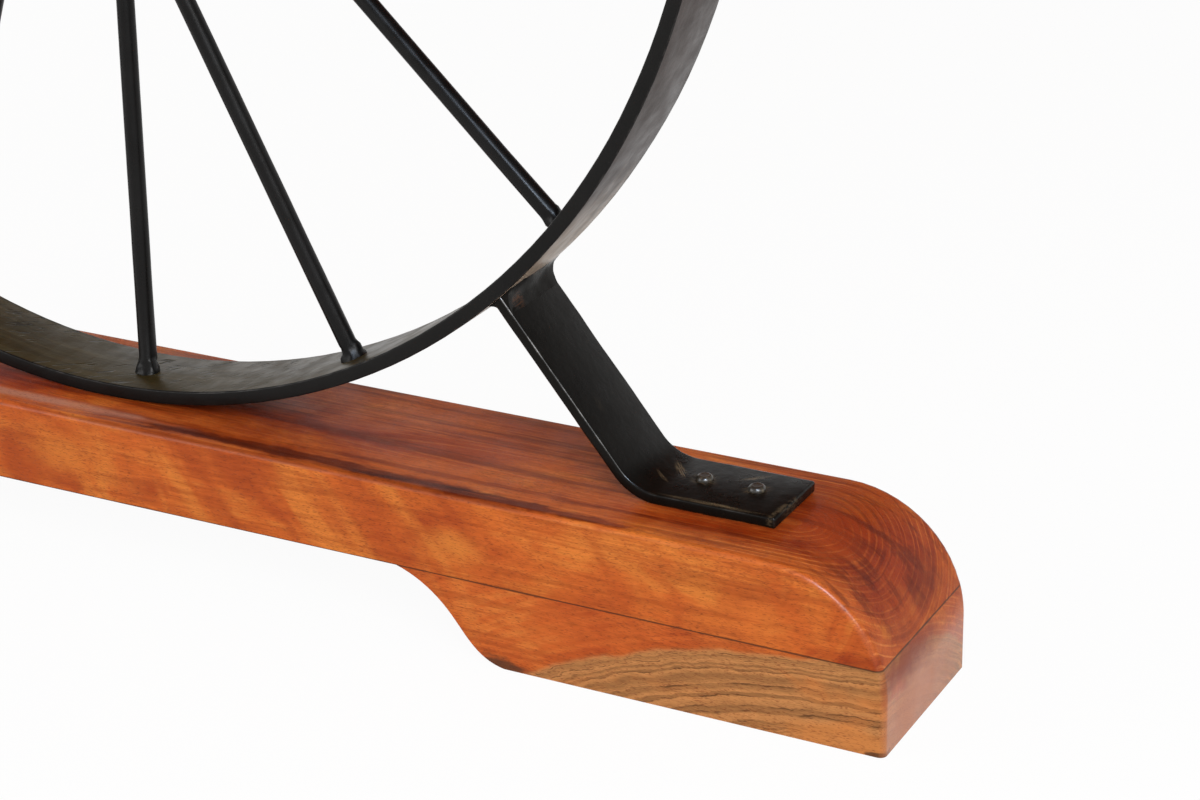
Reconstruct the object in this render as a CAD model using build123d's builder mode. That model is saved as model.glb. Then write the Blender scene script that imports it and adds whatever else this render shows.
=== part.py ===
from build123d import *
import os
from math import acos, cos, degrees, radians, sin

# Wagon wheel table: two iron wheels, each standing on a footed wooden beam, carry a plank top.
# Lengths are in millimetres and angles in degrees.
# X runs across the table, Y along it and Z up. The origin is on the floor under the top's middle.

# Wheels: a flat-bar rim, round-bar spokes and a turned hub
wheel_diameter = 610.0
rim_width = 40.0
rim_thickness = 6.35
spoke_count = 16
spoke_diameter = 8.0
spoke_rake = 19.5  # how far a spoke's hub end stands off the wheel's middle plane
first_spoke_angle = 3.23  # from straight down
spoke_wander = 1.98  # hand-set spokes stray up to this far from even spacing at the rim
wander_start = 221.5
wander_step = 77.5
hub_lead = 5.02  # the hub is set a little ahead of the rim
hub_wander = 5.97  # and the spokes stray up to this far from that at the hub
hub_wander_start = 3.67
hub_wander_step = 124.7
hub_diameter = 61.0
hub_length = 70.0
hub_band_diameter = 70.0
hub_band_width = 9.0
hub_band_chamfer = 2.0

# Stretcher between the hubs: a tie rod inside a tube
stretcher_diameter = 38.0
stretcher_wall = 3.0
tie_rod_diameter = 16.0
tie_rod_clearance = 0.25
tie_rod_end_chamfer = 1.0
washer_diameter = 34.0
washer_thickness = 3.0
nut_across_flats = 24.0
nut_height = 13.0
nut_dome_diameter = 22.0
nut_dome_height = 9.0

# Wooden beams under the wheels, with a block glued under each end
board_thickness = 38.0
beam_width = 86.5
beam_length = 778.0
beam_setforward = 1.75  # the beam stands this far outside the wheel's middle plane
end_round_radius = 52.0  # cut after gluing, so it runs down into the block
beam_edge_round = 3.0
foot_length = 223.0
ogee_length = 51.0
ogee_start_angle = 17.0
ogee_end_angle = 9.0
ogee_middle = (26.3, 17.9)  # reach and drop from the ogee's start

# Wooden cleats between the wheels and the top
cleat_end_margin = 52.5  # from the top's long edge

# Bent flat-bar brackets, welded to the rims and screwed to the wood
bracket_width = 40.0
bracket_thickness = 5.0
bracket_setback = 2.4  # the brackets stand this far inside the wheel's middle plane
bracket_end_margin = 8.0  # from the foot's end to where the beam's end begins to round
bracket_foot_length = 64.3  # from the foot's end to the bend's corner
bracket_bend_radius = 21.3
bracket_meets_rim = 42.0  # from straight down, or straight up
bracket_edge_chamfer = 0.8
upper_weld_radius = 8.0  # on the leg's side that faces away from the beam
lower_weld_radius = 4.5
bracket_weld_inset = 1.0

# Screws
screw_diameter = 4.0
screw_length = 28.0
screw_head_diameter = 7.6
screw_crown_diameter = 5.0
screw_head_height = 2.4
screw_end_margin = 18.0  # from the bracket foot's end to the nearer screw
screw_pitch = 23.7
screw_row_setback = 1.8  # the screws stand this far inside the bracket's centre line
bracket_hole_clearance = 0.25
pilot_clearance = 0.02
cleat_screw_length = 60.0
cleat_screw_head_diameter = 8.4
countersink_angle = 90.0
cleat_screw_row = 29.0  # from the cleat's centre line
cleat_screw_margin = 20.0  # from the rounded end

# Top: planks glued edge to edge
top_length = 2032.0
top_width = 965.0
top_thickness = 38.0
top_overhang = 336.0  # past the wheels' middle planes
plank_count = 7
top_corner_round = 10.0
top_edge_round = 5.0
under_edge_round = 2.0
joint_chamfer = 0.6

# Derived sizes
trestle_spacing = top_length - 2 * top_overhang  # between the wheels' middle planes
cleat_length = top_width - 2 * cleat_end_margin
wheel_radius = wheel_diameter / 2
rim_inner_radius = wheel_radius - rim_thickness
beam_top = 2 * board_thickness
wheel_height = beam_top + wheel_radius
cleat_underside = beam_top + wheel_diameter
top_underside = cleat_underside + board_thickness
plank_width = top_width / plank_count
spoke_pitch = 360 / spoke_count
end_round_angle = degrees(acos((end_round_radius - board_thickness) / end_round_radius))
bracket_foot_end = beam_length / 2 - end_round_radius - bracket_end_margin
bracket_corner = bracket_foot_end - bracket_foot_length
foot_inner_end = beam_length / 2 - foot_length
tie_rod_length = trestle_spacing + hub_length + 2 * (washer_thickness + nut_height)

FRONT, BACK = -1, 1
LEFT, RIGHT = -1, 1
DOWN, UP = -1, 1
side_names = {FRONT: "front", BACK: "back"}
across_names = {LEFT: "left", RIGHT: "right"}


def upright(side, height, outward=0.0, up=UP):
    """Plane across the table: x across, y up or down, z along the table's length."""
    y = side * (trestle_spacing / 2 + outward)
    return Plane(origin=(0, y, height), x_dir=(-side, 0, 0), z_dir=(0, side * up, 0))


def save(piece, name):
    piece.part.label = name
    export_step(piece.part, f"parts/{name}.step")


# Wheels

def spoke_ends(side, index):
    """Points on a spoke's middle line, inside the rim's bar and inside the hub."""
    wheel = upright(side, wheel_height)
    even = first_spoke_angle + spoke_pitch * index
    at_rim = even + spoke_wander * sin(radians(wander_start + wander_step * index))
    at_hub = at_rim + hub_lead + hub_wander * sin(radians(hub_wander_start + hub_wander_step * index))
    rim_way = Vector(sin(radians(at_rim)), -cos(radians(at_rim)), 0)
    hub_way = Vector(sin(radians(at_hub)), -cos(radians(at_hub)), 0)
    rake = Vector(0, 0, spoke_rake if index % 2 else -spoke_rake)
    rim_end = wheel.from_local_coords(rim_way * (rim_inner_radius + rim_thickness / 2))
    hub_end = wheel.from_local_coords(hub_way * (hub_diameter - spoke_diameter) / 2 + rake)
    return rim_end, hub_end


def make_rim(side):
    with BuildPart() as rim:
        with BuildSketch(upright(side, wheel_height)):
            Circle(wheel_radius)
            Circle(rim_inner_radius, mode=Mode.SUBTRACT)
        extrude(amount=rim_width / 2, both=True)
    save(rim, f"wheel_rim_{side_names[side]}")


def make_spokes(side):
    """Round bars raked alternately to the hub's two ends, and cut to the hub and the rim."""
    with BuildPart() as spokes:
        for index in range(spoke_count):
            rim_end, hub_end = spoke_ends(side, index)
            with BuildSketch(Plane(origin=hub_end, x_dir=(0, 1, 0), z_dir=rim_end - hub_end)):
                Circle(spoke_diameter / 2)
            extrude(amount=(rim_end - hub_end).length)
        with Locations(upright(side, wheel_height).location):
            Cylinder(rim_inner_radius, 2 * hub_length, mode=Mode.INTERSECT)
            Cylinder(hub_diameter / 2, 2 * hub_length, mode=Mode.SUBTRACT)
    save(spokes, f"wheel_spokes_{side_names[side]}")


def make_hub(side):
    bore = tie_rod_diameter / 2 + tie_rod_clearance
    half = hub_length / 2
    shoulder = half - hub_band_width
    axle = Axis((0, 0, wheel_height), (0, 1, 0))
    lengthwise = Plane(
        origin=(0, side * trestle_spacing / 2, wheel_height), x_dir=(0, 1, 0), z_dir=(1, 0, 0)
    )
    with BuildPart() as hub:
        with BuildSketch(lengthwise) as profile:
            with Locations((0, bore)):
                Rectangle(hub_length, hub_diameter / 2 - bore, align=(Align.CENTER, Align.MIN))
                for end in (-1, 1):
                    with Locations((end * (shoulder + hub_band_width / 2), 0)):
                        Rectangle(
                            hub_band_width,
                            hub_band_diameter / 2 - bore,
                            align=(Align.CENTER, Align.MIN),
                        )
            chamfer(profile.vertices().group_by(Axis.Y)[-1], hub_band_chamfer)
        revolve(axis=axle)
    save(hub, f"wheel_hub_{side_names[side]}")


# Stretcher

def make_stretcher():
    middle = Plane(origin=(0, 0, wheel_height), x_dir=(1, 0, 0), z_dir=(0, -1, 0))
    with BuildPart() as tube:
        with BuildSketch(middle):
            Circle(stretcher_diameter / 2)
            Circle(stretcher_diameter / 2 - stretcher_wall, mode=Mode.SUBTRACT)
        extrude(amount=(trestle_spacing - hub_length) / 2, both=True)
    save(tube, "stretcher_tube")

    with BuildPart() as rod:
        with BuildSketch(middle):
            Circle(tie_rod_diameter / 2)
        extrude(amount=tie_rod_length / 2, both=True)
        chamfer(rod.edges().filter_by(GeomType.CIRCLE), tie_rod_end_chamfer)
    save(rod, "tie_rod")

    with BuildPart() as washers:
        for side in (FRONT, BACK):
            with BuildSketch(upright(side, wheel_height, hub_length / 2)):
                Circle(washer_diameter / 2)
                Circle(tie_rod_diameter / 2 + tie_rod_clearance, mode=Mode.SUBTRACT)
            extrude(amount=washer_thickness)
    save(washers, "tie_rod_washers")

    with BuildPart() as nut:
        with BuildSketch(Plane.XY):
            RegularPolygon(nut_across_flats / 2, 6, major_radius=False)
        extrude(amount=nut_height)
        with BuildSketch(Plane.XZ):
            with BuildLine():
                dome = TangentArc(
                    (0, nut_height + nut_dome_height), (nut_dome_diameter / 2, nut_height), tangent=(1, 0)
                )
                Polyline(dome @ 1, (0, nut_height), dome @ 0)
            make_face()
        revolve(axis=Axis.Z)
        Hole(tie_rod_diameter / 2, nut_height)
    with BuildPart() as nuts:
        for side in (FRONT, BACK):
            outside = hub_length / 2 + washer_thickness
            with Locations(upright(side, wheel_height, outside).location):
                add(nut.part)
    save(nuts, "tie_rod_nuts")


# Wooden boards that hold the wheels

def board_plane(side, facing):
    """Plane across a board, with y = 0 on its wheel side and y pointing away from the wheel."""
    height = beam_top if facing == UP else cleat_underside
    return upright(side, height, beam_setforward, up=-facing)


def cut_screw_holes(spots, radius, depth):
    """Round holes running back from each spot, against its z direction."""
    with Locations(*[spot.location for spot in spots]):
        Hole(radius, depth)


def make_board(name, side, facing, length, countersunk=()):
    straight = length / 2 - end_round_radius
    with BuildPart() as board:
        with BuildSketch(board_plane(side, facing)):
            with BuildLine():
                right = CenterArc(
                    (straight, end_round_radius), end_round_radius, 270, end_round_angle
                )
                left = CenterArc(
                    (-straight, end_round_radius),
                    end_round_radius,
                    270 - end_round_angle,
                    end_round_angle,
                )
                Line(left @ 1, right @ 0)
                Line(right @ 1, left @ 0)
            make_face()
        extrude(amount=beam_width / 2, both=True)
        glued = board.faces().filter_by(Axis.Z).sort_by(Axis.Z)[0 if facing == UP else -1]
        sides = board.faces().filter_by(Axis.Y).edges()
        fillet(sides - glued.edges(), beam_edge_round)
        cut_screw_holes(bracket_screw_spots(side, facing), screw_diameter / 2 + pilot_clearance, screw_length)
        if countersunk:
            with Locations(*[spot.location for spot in countersunk]):
                CounterSinkHole(
                    screw_diameter / 2 + pilot_clearance,
                    cleat_screw_head_diameter / 2 + pilot_clearance,
                    board_thickness,
                    countersink_angle,
                )
    save(board, name)


def make_foot(side, across):
    outer = beam_length / 2
    ogee_end = foot_inner_end + ogee_length
    reach, drop = ogee_middle
    start_way = (cos(radians(ogee_start_angle)), -sin(radians(ogee_start_angle)))
    end_way = (cos(radians(ogee_end_angle)), -sin(radians(ogee_end_angle)))
    plane = Plane(
        origin=(0, side * (trestle_spacing / 2 + beam_setforward), board_thickness),
        x_dir=(across, 0, 0),
        z_dir=(0, -across, 0),
    )
    with BuildPart() as foot:
        with BuildSketch(plane):
            with BuildLine():
                ogee = Spline(
                    (foot_inner_end, 0),
                    (foot_inner_end + reach, -drop),
                    (ogee_end, -board_thickness),
                    tangents=(start_way, end_way),
                )
                rounding = CenterArc(
                    (outer - end_round_radius, board_thickness - end_round_radius),
                    end_round_radius,
                    0,
                    90 - end_round_angle,
                )
                Polyline(ogee @ 1, (outer, -board_thickness), rounding @ 0)
                Line(rounding @ 1, ogee @ 0)
            make_face()
        extrude(amount=beam_width / 2, both=True)
        side_edges = foot.faces().filter_by(Axis.Y).edges()
        fillet(
            [
                edge
                for edge in side_edges
                if abs(edge.center().X) > outer - beam_edge_round
                and edge.bounding_box().size.Z > beam_edge_round
            ],
            beam_edge_round,
        )
    save(foot, f"foot_{side_names[side]}_{across_names[across]}")


# Brackets and their screws

def bracket_plane(side, across, facing):
    """Plane in a bracket's middle: origin at the wheel's centre, x to the foot's end, y to the wood."""
    y = side * (trestle_spacing / 2 - bracket_setback)
    return Plane(origin=(0, y, wheel_height), x_dir=(across, 0, 0), z_dir=(0, across * facing, 0))


def bracket_path():
    """Middle line of a bracket's flat bar, from its foot's end to inside the rim."""
    foot_middle = wheel_radius - bracket_thickness / 2
    weld_radius = wheel_radius - rim_thickness / 2
    meets = radians(bracket_meets_rim)
    with BuildLine() as path:
        FilletPolyline(
            (bracket_foot_end, foot_middle),
            (bracket_corner, foot_middle),
            (weld_radius * sin(meets), weld_radius * cos(meets)),
            radius=bracket_bend_radius + bracket_thickness / 2,
        )
    return path.edges()


def bracket_screw_spots(side, facing):
    """Planes on a board's wheel side under each of its bracket screws, z pointing to the wheel."""
    y = side * (trestle_spacing / 2 - bracket_setback - screw_row_setback)
    height = beam_top if facing == UP else cleat_underside
    spots = []
    for across in (LEFT, RIGHT):
        for index in (0, 1):
            x = across * (bracket_foot_end - screw_end_margin - index * screw_pitch)
            spots.append(Plane(origin=(x, y, height), x_dir=(1, 0, 0), z_dir=(0, 0, facing)))
    return spots


def make_bracket(side, across, facing):
    with BuildPart() as bracket:
        with BuildSketch(bracket_plane(side, across, facing)):
            trace(bracket_path(), line_width=bracket_thickness)
        extrude(amount=bracket_width / 2, both=True)
        chamfer(bracket.faces().filter_by(Axis.Y).edges(), bracket_edge_chamfer)
        with Locations(upright(side, wheel_height).location):
            Cylinder(wheel_radius, 2 * bracket_width, mode=Mode.SUBTRACT)
        tops = [spot.offset(bracket_thickness) for spot in bracket_screw_spots(side, facing)]
        cut_screw_holes(tops, screw_diameter / 2 + bracket_hole_clearance, bracket_thickness)
    place = "lower" if facing == UP else "upper"
    save(bracket, f"{place}_bracket_{side_names[side]}_{across_names[across]}")


def make_bracket_welds(side):
    """Concave beads in the corners between each bracket's leg and the rim."""
    meets = radians(bracket_meets_rim)
    meeting_point = (wheel_radius * sin(meets), wheel_radius * cos(meets), 0)
    surroundings = 5 * upper_weld_radius
    with BuildPart() as welds:
        for facing in (DOWN, UP):
            for across in (LEFT, RIGHT):
                with BuildSketch(bracket_plane(side, across, facing)) as bead:
                    trace(bracket_path(), line_width=bracket_thickness)
                    Circle(wheel_radius)
                    with Locations(meeting_point):
                        Circle(surroundings, mode=Mode.INTERSECT)
                    corners = bead.vertices().sort_by_distance(meeting_point)[:2]
                    upper_corner, lower_corner = corners.sort_by(Axis.Y)
                    fillet(upper_corner, upper_weld_radius)
                    fillet(bead.vertices().sort_by_distance(lower_corner)[0], lower_weld_radius)
                    Circle(wheel_radius, mode=Mode.SUBTRACT)
                    trace(bracket_path(), line_width=bracket_thickness, mode=Mode.SUBTRACT)
                extrude(amount=bracket_width / 2 - bracket_weld_inset, both=True)
    save(welds, f"bracket_welds_{side_names[side]}")


def make_bracket_screws(side):
    with BuildPart() as screws:
        for facing in (DOWN, UP):
            for spot in bracket_screw_spots(side, facing):
                top = spot.offset(bracket_thickness)
                with Locations(top.offset(screw_head_height / 2).location):
                    Cone(screw_head_diameter / 2, screw_crown_diameter / 2, screw_head_height)
                with BuildSketch(top):
                    Circle(screw_diameter / 2)
                extrude(amount=-screw_length)
    save(screws, f"bracket_screws_{side_names[side]}")


# Top

def plank_middle(index):
    return plank_width * (index - (plank_count - 1) / 2)


def cleat_screw_spots(side):
    """Planes on a cleat's underside, z pointing down: a screw to every other plank, staggered."""
    reach = cleat_length / 2 - end_round_radius - cleat_screw_margin
    spots = []
    for count, index in enumerate(range(0, plank_count, 2)):
        x = max(-reach, min(reach, plank_middle(index)))
        row = cleat_screw_row if count % 2 else -cleat_screw_row
        y = side * (trestle_spacing / 2 + beam_setforward) + row
        spots.append(Plane(origin=(x, y, cleat_underside), x_dir=(1, 0, 0), z_dir=(0, 0, -1)))
    return spots


def make_cleat_screws(side):
    head_height = (cleat_screw_head_diameter - screw_diameter) / 2
    with BuildPart() as screws:
        for spot in cleat_screw_spots(side):
            with Locations(spot.offset(-head_height / 2).location):
                Cone(screw_diameter / 2, cleat_screw_head_diameter / 2, head_height)
            with BuildSketch(spot.offset(-head_height)):
                Circle(screw_diameter / 2)
            extrude(amount=head_height - cleat_screw_length)
    save(screws, f"cleat_screws_{side_names[side]}")


def make_plank(index):
    """One plank of the top, cut from the whole rounded outline."""
    middle = plank_middle(index)
    with BuildPart() as plank:
        with BuildSketch(Plane.XY.offset(top_underside)):
            RectangleRounded(top_width, top_length, top_corner_round)
        extrude(amount=top_thickness)
        fillet(plank.faces().sort_by(Axis.Z)[-1].edges(), top_edge_round)
        fillet(plank.faces().sort_by(Axis.Z)[0].edges(), under_edge_round)
        with Locations((middle, 0, top_underside + top_thickness / 2)):
            Box(plank_width, top_length, top_thickness, mode=Mode.INTERSECT)
        joints = [
            edge
            for edge in plank.faces().sort_by(Axis.Z)[-1].edges().filter_by(Axis.Y)
            if abs(edge.center().X) < top_width / 2 - plank_width / 2
        ]
        chamfer(joints, joint_chamfer)
        reached = plank_width / 2 + screw_diameter / 2 + pilot_clearance
        pilots = [
            Plane(origin=(spot.origin.X, spot.origin.Y, top_underside), z_dir=(0, 0, -1))
            for side in (FRONT, BACK)
            for spot in cleat_screw_spots(side)
            if abs(spot.origin.X - middle) < reached
        ]
        if pilots:
            cut_screw_holes(pilots, screw_diameter / 2 + pilot_clearance, cleat_screw_length - board_thickness)
    save(plank, f"top_plank_{index + 1}")


# Everything

os.makedirs("parts", exist_ok=True)
make_stretcher()
for trestle in (FRONT, BACK):
    make_rim(trestle)
    make_spokes(trestle)
    make_hub(trestle)
    make_board(f"base_beam_{side_names[trestle]}", trestle, UP, beam_length)
    make_board(
        f"top_cleat_{side_names[trestle]}", trestle, DOWN, cleat_length, cleat_screw_spots(trestle)
    )
    make_bracket_welds(trestle)
    make_bracket_screws(trestle)
    make_cleat_screws(trestle)
    for hand in (LEFT, RIGHT):
        make_foot(trestle, hand)
        make_bracket(trestle, hand, UP)
        make_bracket(trestle, hand, DOWN)
for number in range(plank_count):
    make_plank(number)
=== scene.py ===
import math

import bmesh
import bpy
from mathutils import Matrix, Vector


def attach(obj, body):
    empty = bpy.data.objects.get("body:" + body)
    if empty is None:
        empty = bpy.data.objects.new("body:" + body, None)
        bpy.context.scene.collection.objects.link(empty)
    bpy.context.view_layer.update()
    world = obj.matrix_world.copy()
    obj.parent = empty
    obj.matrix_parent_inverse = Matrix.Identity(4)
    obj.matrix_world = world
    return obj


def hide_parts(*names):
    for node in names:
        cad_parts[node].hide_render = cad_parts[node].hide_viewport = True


# A wagon wheel table: two iron wheels on footed wooden beams carry a plank top.
# Sizes are in metres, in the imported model's frame: X across the table, Y along it and Z up.

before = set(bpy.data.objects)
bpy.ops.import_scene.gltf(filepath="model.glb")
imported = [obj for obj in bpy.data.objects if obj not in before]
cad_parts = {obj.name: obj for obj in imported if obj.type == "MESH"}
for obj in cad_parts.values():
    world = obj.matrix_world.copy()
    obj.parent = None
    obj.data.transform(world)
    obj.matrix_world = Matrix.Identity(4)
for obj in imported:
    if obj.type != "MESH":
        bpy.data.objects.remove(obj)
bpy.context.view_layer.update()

# Boards
table_width = 0.965
table_height = 0.762
plank_count = 7
plank_width = table_width / plank_count
board_thickness = 0.038
beam_top = 2 * board_thickness

# Wheels
wheel_radius = 0.305
wheel_height = 0.381
wheel_y = 0.680
rim_thickness = 0.00635
rim_width = 0.040
rim_edge_round = 0.0007
hub_radius = 0.0305
hub_half = 0.035
hub_band_width = 0.009
hub_band_rise = 0.0045
hub_cap_inset = 0.012
hub_edge_round = 0.0014

# Spokes, with their angles in degrees from straight down
spoke_count = 16
spoke_radius = 0.004
spoke_rake = 0.0195
first_spoke_angle = 3.23
spoke_wander = 1.98
wander_start = 221.5
wander_step = 77.5
hub_lead = 5.02
hub_wander = 5.97
hub_wander_start = 3.67
hub_wander_step = 124.7
collar_height = 0.0075
full_collar_radius = 0.0064
slim_collar_radius = 0.0044
hub_collar_height = 0.012
hub_collar_flare = 1.35
collar_sink = 0.0006

# Brackets, their welds and their screws
bar_thickness = 0.005
bar_width = 0.040
bar_setback = 0.0024
bar_foot_end = 0.329
bar_corner = 0.2647
bar_bend_radius = 0.0213
bar_meets_rim = math.radians(42.0)
bar_edge_round = 0.0011
bar_y = wheel_y - bar_setback
bead_sink = 0.0008
bead_inset = 0.0008
screw_row_setback = 0.0042
screw_places = (0.311, 0.2873)
screw_head_radius = 0.0038
screw_head_height = 0.0023
screw_head_round = 0.0022
screw_head_sink = 0.00005

FRONT, BACK = -1, 1
LEFT, RIGHT = -1, 1
side_names = {FRONT: "front", BACK: "back"}
hand_names = {LEFT: "left", RIGHT: "right"}
origin = (0.0, 0.0, 0.0)
front_wheel_centre = Vector((0.0, FRONT * wheel_y, wheel_height))
turn_to_back = Matrix.Rotation(math.pi, 4, "Z")
mirror_x = Matrix.Diagonal((-1.0, 1.0, 1.0, 1.0))
mirror_z = Matrix.Translation((0.0, 0.0, 2 * wheel_height)) @ Matrix.Diagonal((1.0, 1.0, -1.0, 1.0))


# ---------------------------------------------------------------- modelling by hand

def take(piece):
    """Makes one piece the only one in hand."""
    bpy.ops.object.select_all(action="DESELECT")
    piece.select_set(True)
    bpy.context.view_layer.objects.active = piece
    return piece


def open_up(piece):
    take(piece)
    bpy.ops.object.mode_set(mode="EDIT")
    bpy.ops.mesh.select_mode(type="FACE")


def close_up():
    bpy.ops.object.mode_set(mode="OBJECT")


def pick_all():
    bpy.ops.mesh.select_all(action="SELECT")


def pick(piece, kind, wanted):
    """Chooses the faces or the edges that pass, and no others."""
    bpy.ops.mesh.select_mode(type=kind)
    mesh = bmesh.from_edit_mesh(piece.data)
    cells = mesh.faces if kind == "FACE" else mesh.edges
    for cell in cells:
        cell.select_set(False)
    for cell in cells:
        if wanted(cell):
            cell.select_set(True)
    bmesh.update_edit_mesh(piece.data)


def pick_faces(piece, wanted):
    """Chooses faces by their middle and normal."""
    pick(piece, "FACE", lambda face: wanted(face.calc_center_median(), face.normal))


def pick_edges(piece, wanted):
    """Chooses edges by their two ends."""
    pick(piece, "EDGE", lambda edge: wanted(edge.verts[0].co, edge.verts[1].co))


def draw_out(offset, times=1):
    """Extrudes the chosen faces by one offset, several times over."""
    for _ in range(times):
        bpy.ops.mesh.extrude_region_move(TRANSFORM_OT_translate={"value": offset})


def flare(rise, widen, curve, steps):
    """Draws the chosen end out along Z, wider step by step, until it is so many times as wide."""
    before = 1.0
    for step in range(1, steps + 1):
        draw_out((0.0, 0.0, rise / steps))
        now = 1.0 + (widen - 1.0) * (step / steps) ** curve
        bpy.ops.transform.resize(value=(now / before, now / before, 1.0), center_override=origin)
        before = now


def cut_across(y):
    """Cuts the whole mesh where Y has one value."""
    pick_all()
    bpy.ops.mesh.bisect(plane_co=(0.0, y, 0.0), plane_no=(0.0, 1.0, 0.0))


def settle(piece):
    """Moves a piece's place, turn and scale into its mesh."""
    take(piece)
    bpy.ops.object.transform_apply(location=True, rotation=True, scale=True)
    return piece


def bar_section(thickness, width, middle):
    """One face: the cross-section of a flat bar that runs along X."""
    bpy.ops.mesh.primitive_plane_add(size=1.0, location=middle, rotation=(0.0, math.pi / 2, 0.0))
    section = bpy.context.active_object
    section.scale = (thickness, width, 1.0)
    return settle(section)


def finish_with(piece, kind, **settings):
    """Adds one modifier and applies it."""
    take(piece)
    modifier = piece.modifiers.new(kind.lower(), kind)
    for name, value in settings.items():
        setattr(modifier, name, value)
    bpy.ops.object.modifier_apply(modifier=modifier.name)


def ease_edges(piece, width, sharper_than):
    """Rounds the edges that are sharper than an angle in degrees."""
    limit = math.radians(sharper_than)
    finish_with(piece, "BEVEL", width=width, segments=3, limit_method="ANGLE", angle_limit=limit)


def hand_worked(piece, size, depth, group=""):
    """Gives a surface the slight unevenness of forged, welded or sanded work."""
    lumps = bpy.data.textures.new(piece.name + "_lumps", "CLOUDS")
    lumps.noise_scale = size
    lumps.noise_depth = 1
    settings = {"texture": lumps, "texture_coords": "LOCAL", "strength": depth, "mid_level": 0.5}
    finish_with(piece, "DISPLACE", vertex_group=group, **settings)


def tidy_mesh(piece, smooth_angle):
    """Merges doubled points, turns the faces outwards and smooths all but the sharp edges."""
    open_up(piece)
    pick_all()
    bpy.ops.mesh.remove_doubles(threshold=1e-6)
    bpy.ops.mesh.normals_make_consistent(inside=False)
    close_up()
    take(piece)
    bpy.ops.object.shade_smooth_by_angle(angle=math.radians(smooth_angle))


def copy_of(piece, name, change):
    """A second piece with its own mesh, moved, turned or mirrored by a matrix."""
    twin = piece.copy()
    twin.data = piece.data.copy()
    twin.name = name
    bpy.context.scene.collection.objects.link(twin)
    twin.data.transform(change)
    if change.determinant() < 0:
        twin.data.flip_normals()
    return twin


def join(pieces, name):
    take(pieces[0])
    for piece in pieces[1:]:
        piece.select_set(True)
    bpy.ops.object.join()
    pieces[0].name = name
    return pieces[0]


def paint(piece, finish):
    piece.data.materials.clear()
    piece.data.materials.append(finish)


def seat(piece, slot_name, *nodes):
    """Hands a finished piece to the frame in place of its CAD nodes."""
    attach(piece, "root")
    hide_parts(*nodes)


# ---------------------------------------------------------------- nodes

class Bench:
    """Adds nodes to one tree, wired as they are made."""

    def __init__(self, tree):
        self.tree = tree

    def feed(self, socket, value):
        """Wires an output to a socket, or sets the socket's own value."""
        if isinstance(value, bpy.types.NodeSocket):
            self.tree.links.new(value, socket)
        elif socket.type == "RGBA" and len(value) == 3:
            socket.default_value = (*value, 1.0)
        else:
            socket.default_value = value

    def put(self, kind, inputs=None, **settings):
        node = self.tree.nodes.new(kind)
        for name, value in settings.items():
            setattr(node, name, value)
        for key, value in (inputs or {}).items():
            self.feed(node.inputs[key], value)
        return node

    def use(self, group, inputs):
        return self.put("ShaderNodeGroup", inputs, node_tree=group).outputs

    def math(self, operation, first, second=0.0):
        return self.put("ShaderNodeMath", {0: first, 1: second}, operation=operation).outputs[0]

    def times(self, *values):
        """The product of several values."""
        product = values[0]
        for value in values[1:]:
            product = self.math("MULTIPLY", product, value)
        return product

    def add_share(self, value, share, base):
        """A base with a share of a value added."""
        return self.put("ShaderNodeMath", {0: value, 1: share, 2: base}, operation="MULTIPLY_ADD").outputs[0]

    def vector(self, operation, first, second=origin):
        node = self.put("ShaderNodeVectorMath", {0: first}, operation=operation)
        self.feed(node.inputs["Scale" if operation == "SCALE" else 1], second)
        return node.outputs["Value" if operation == "LENGTH" else "Vector"]

    def split(self, vector):
        return self.put("ShaderNodeSeparateXYZ", {0: vector}).outputs

    def gather(self, x, y, z):
        return self.put("ShaderNodeCombineXYZ", {"X": x, "Y": y, "Z": z}).outputs[0]

    def turned(self, vector, angles, shift=origin):
        inputs = {"Vector": vector, "Rotation": angles, "Location": shift}
        return self.put("ShaderNodeMapping", inputs).outputs[0]

    def blend(self, share, first, second, way="MIX"):
        settings = {"data_type": "RGBA", "blend_type": way, "clamp_factor": True}
        return self.put("ShaderNodeMix", {0: share, 6: first, 7: second}, **settings).outputs[2]

    def between(self, value, low, high, out_low=0.0, out_high=1.0):
        """A value's smooth rise from low to high."""
        inputs = {"Value": value, "From Min": low, "From Max": high, "To Min": out_low, "To Max": out_high}
        return self.put("ShaderNodeMapRange", inputs, interpolation_type="SMOOTHSTEP").outputs[0]

    def noise(self, place, scale, detail=2.0, roughness=0.5, distortion=0.0, output="Fac"):
        """Cloudy noise; a scale of three numbers draws it out along the axes."""
        if isinstance(scale, tuple):
            place, scale = self.vector("MULTIPLY", place, scale), 1.0
        inputs = {"Vector": place, "Scale": scale, "Detail": detail, "Roughness": roughness}
        return self.put("ShaderNodeTexNoise", {**inputs, "Distortion": distortion}).outputs[output]

    def bands(self, distance, width, detail=2.0, roughness=0.6):
        """Uneven bands of about one width along a distance."""
        count = self.math("DIVIDE", distance, width)
        inputs = {"W": count, "Scale": 1.0, "Detail": detail, "Roughness": roughness}
        return self.put("ShaderNodeTexNoise", inputs, noise_dimensions="1D").outputs["Fac"]

    def object_place(self):
        return self.put("ShaderNodeTexCoord").outputs["Object"]

    def facing(self):
        """The way the surface faces, split along the axes."""
        return self.split(self.put("ShaderNodeNewGeometry").outputs["Normal"])


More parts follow.
